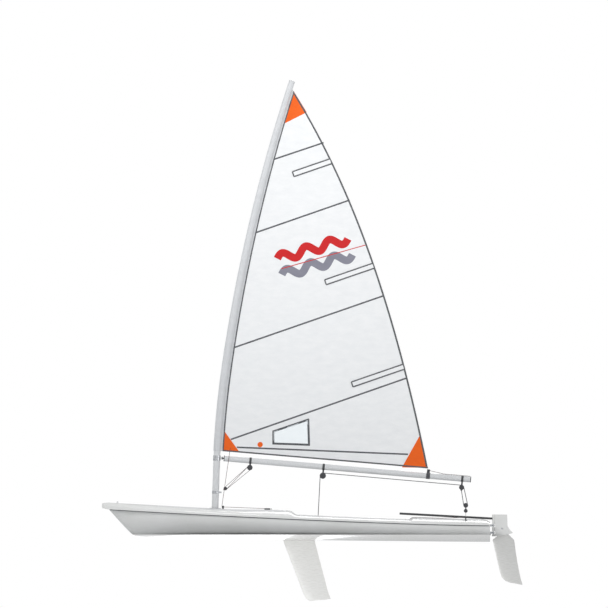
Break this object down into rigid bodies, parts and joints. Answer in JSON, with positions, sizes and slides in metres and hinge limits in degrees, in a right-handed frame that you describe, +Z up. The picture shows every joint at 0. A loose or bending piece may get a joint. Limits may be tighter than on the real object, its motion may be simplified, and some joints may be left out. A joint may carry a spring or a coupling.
{
  "type": "single-handed sailing dinghy",
  "caption": "Single-handed sailing dinghy afloat: unstayed bent mast in a sleeved sail, boom, kick-up rudder, lifting daggerboard and a decked hull with a cockpit well.",
  "frame": {"origin": "on the waterline plane, on the centreline, midway between the bow and the transom", "axes": "+Z up, +X towards the bow, +Y to port"},
  "size_m": [4.5845, 1.3698, 5.6851],
  "materials": {
    "gelcoat": "white gelcoat",
    "plastic_pale": "moulded",
    "plastic_black": "moulded",
    "stainless": "polished",
    "wood": "oiled",
    "webbing": "woven",
    "spar": "white, satin",
    "sailcloth": "white woven sailcloth",
    "film": "clear film",
    "foil": "white gelcoat"
  },
  "bodies": {
    "hull_body": {"hull": "gelcoat", "deck": "gelcoat", "cockpit_liner": "gelcoat", "mast_step": "plastic_pale", "case_trim": "plastic_pale", "control_cleat": "plastic_black", "deck_block": "plastic_black", "bow_eye": "stainless", "grab_rail_port": "wood", "grab_rail_starboard": "wood", "toe_strap": "webbing", "block_bracket": "stainless", "ratchet_block": "plastic_black", "fairlead_port": "plastic_black", "fairlead_starboard": "plastic_black", "traveller_cleat": "plastic_black", "traveller_block": "plastic_black", "lower_sheet_block": "plastic_black", "self_bailer": "stainless", "drain_plug": "plastic_black", "gudgeon_upper": "stainless", "gudgeon_lower": "stainless"},
    "rig_body": {"lower_mast": "spar", "upper_mast": "spar", "mast_spigot": "plastic_black", "gooseneck": "stainless", "boom": "spar", "boom_caps": "plastic_black", "vang_band": "stainless", "vang_lower_block": "plastic_black", "vang_upper_block": "plastic_black", "boom_middle_block": "plastic_black", "boom_end_block": "plastic_black", "luff_sleeve": "sailcloth", "sail": "sailcloth", "sail_window": "film", "batten_top": "sailcloth", "batten_middle": "sailcloth", "batten_bottom": "sailcloth", "clew_strap": "webbing"},
    "rudder_head_body": {"rudder_head": "gelcoat", "pintles": "stainless", "tiller": "spar", "blade_bolt": "stainless"},
    "rudder_blade_body": {"rudder_blade": "foil"},
    "daggerboard_body": {"daggerboard": "foil", "board_head": "plastic_black"}
  },
  "joints": [
    {"name": "rig_turn", "type": "hinge", "parent": "hull_body", "child": "rig_body", "pos_m": [0.892, 0, 0], "axis": [-0.0349, 0, 0.9994], "range_deg": [-90, 90]},
    {"name": "rudder_turn", "type": "hinge", "parent": "hull_body", "child": "rudder_head_body", "pos_m": [-2.15, 0, 0], "axis": [0, 0, 1], "range_deg": [-40, 40]},
    {"name": "rudder_blade_lift", "type": "hinge", "parent": "rudder_head_body", "child": "rudder_blade_body", "pos_m": [-2.247, 0, 0.066], "axis": [0, 1, 0], "range_deg": [0, 90]},
    {"name": "daggerboard_slide", "type": "slide", "parent": "hull_body", "child": "daggerboard_body", "axis": [0.3007, 0, 0.9537], "range_m": [0, 0.48]}
  ]
}
